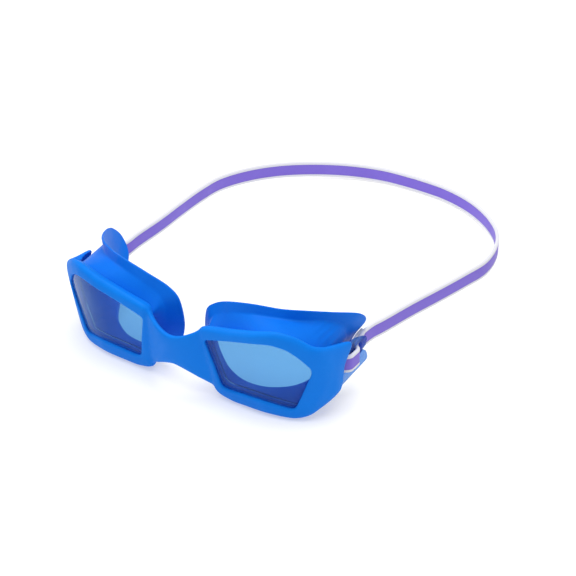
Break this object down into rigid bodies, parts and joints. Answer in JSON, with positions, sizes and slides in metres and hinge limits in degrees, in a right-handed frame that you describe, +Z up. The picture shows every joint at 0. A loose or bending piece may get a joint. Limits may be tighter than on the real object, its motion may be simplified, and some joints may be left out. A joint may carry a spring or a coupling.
{
  "type": "swim goggles",
  "caption": "Child-size swim goggles: matte blue eye frames with tinted lenses, flared face seals, clear blue strap clips and a purple and white strap.",
  "frame": {"origin": "centre of the floor footprint: midway across the goggles, midway from the front of the frames to the back of the strap, on the floor", "axes": "+X across the face towards the right-hand lens seen from the front, +Y from the lenses back to the strap, +Z up"},
  "size_m": [0.1532, 0.2176, 0.0514],
  "materials": {
    "frame_silicone": "matte blue moulded silicone",
    "seal_silicone": "soft satin blue silicone",
    "lens_tint": "clear blue tinted polycarbonate, glossy",
    "clip_tint": "clear blue tinted polycarbonate, glossy",
    "strap_purple": "satin purple silicone",
    "strap_white": "satin white silicone"
  },
  "bodies": {
    "centre": {"nose_bridge": "frame_silicone", "strap_arm_stripe_left": "strap_purple", "strap_arm_stripe_right": "strap_purple", "strap_arm_edges_left": "strap_white", "strap_arm_edges_right": "strap_white"},
    "left_cup": {"frame_left": "frame_silicone", "lens_left": "lens_tint", "gasket_left": "seal_silicone", "strap_clip_left": "clip_tint", "strap_wrap_stripe_left": "strap_purple", "strap_wrap_edges_left": "strap_white"},
    "left_tail": {"strap_tail_stripe_left": "strap_purple", "strap_tail_edges_left": "strap_white"},
    "right_cup": {"frame_right": "frame_silicone", "lens_right": "lens_tint", "gasket_right": "seal_silicone", "strap_clip_right": "clip_tint", "strap_wrap_stripe_right": "strap_purple", "strap_wrap_edges_right": "strap_white"},
    "right_tail": {"strap_tail_stripe_right": "strap_purple", "strap_tail_edges_right": "strap_white"},
    "strap_rear": {"strap_rear_stripe": "strap_purple", "strap_rear_edges": "strap_white"}
  },
  "joints": [
    {"name": "left_cup_flex", "type": "hinge", "parent": "centre", "child": "left_cup", "pos_m": [-0.004, -0.10426, 0.0214], "axis": [0, 0, -1], "range_deg": [-8, 12], "stiffness_Nm_per_rad": 0.25, "deforming": ["nose_bridge", "strap_arm_stripe_left", "strap_arm_edges_left"]},
    {"name": "right_cup_flex", "type": "hinge", "parent": "centre", "child": "right_cup", "pos_m": [0.004, -0.10426, 0.0214], "axis": [0, 0, 1], "range_deg": [-8, 12], "stiffness_Nm_per_rad": 0.25, "deforming": ["nose_bridge", "strap_arm_stripe_right", "strap_arm_edges_right"]},
    {"name": "left_strap_adjust", "type": "slide", "parent": "left_cup", "child": "left_tail", "axis": [0, 1, 0], "range_m": [0, 0.012]},
    {"name": "right_strap_adjust", "type": "slide", "parent": "right_cup", "child": "right_tail", "axis": [0, 1, 0], "range_m": [0, 0.012]},
    {"name": "strap_stretch", "type": "slide", "parent": "centre", "child": "strap_rear", "axis": [0, 1, 0], "range_m": [0, 0.05], "stiffness_N_per_m": 60, "deforming": ["strap_arm_stripe_left", "strap_arm_edges_left", "strap_arm_stripe_right", "strap_arm_edges_right"]}
  ]
}
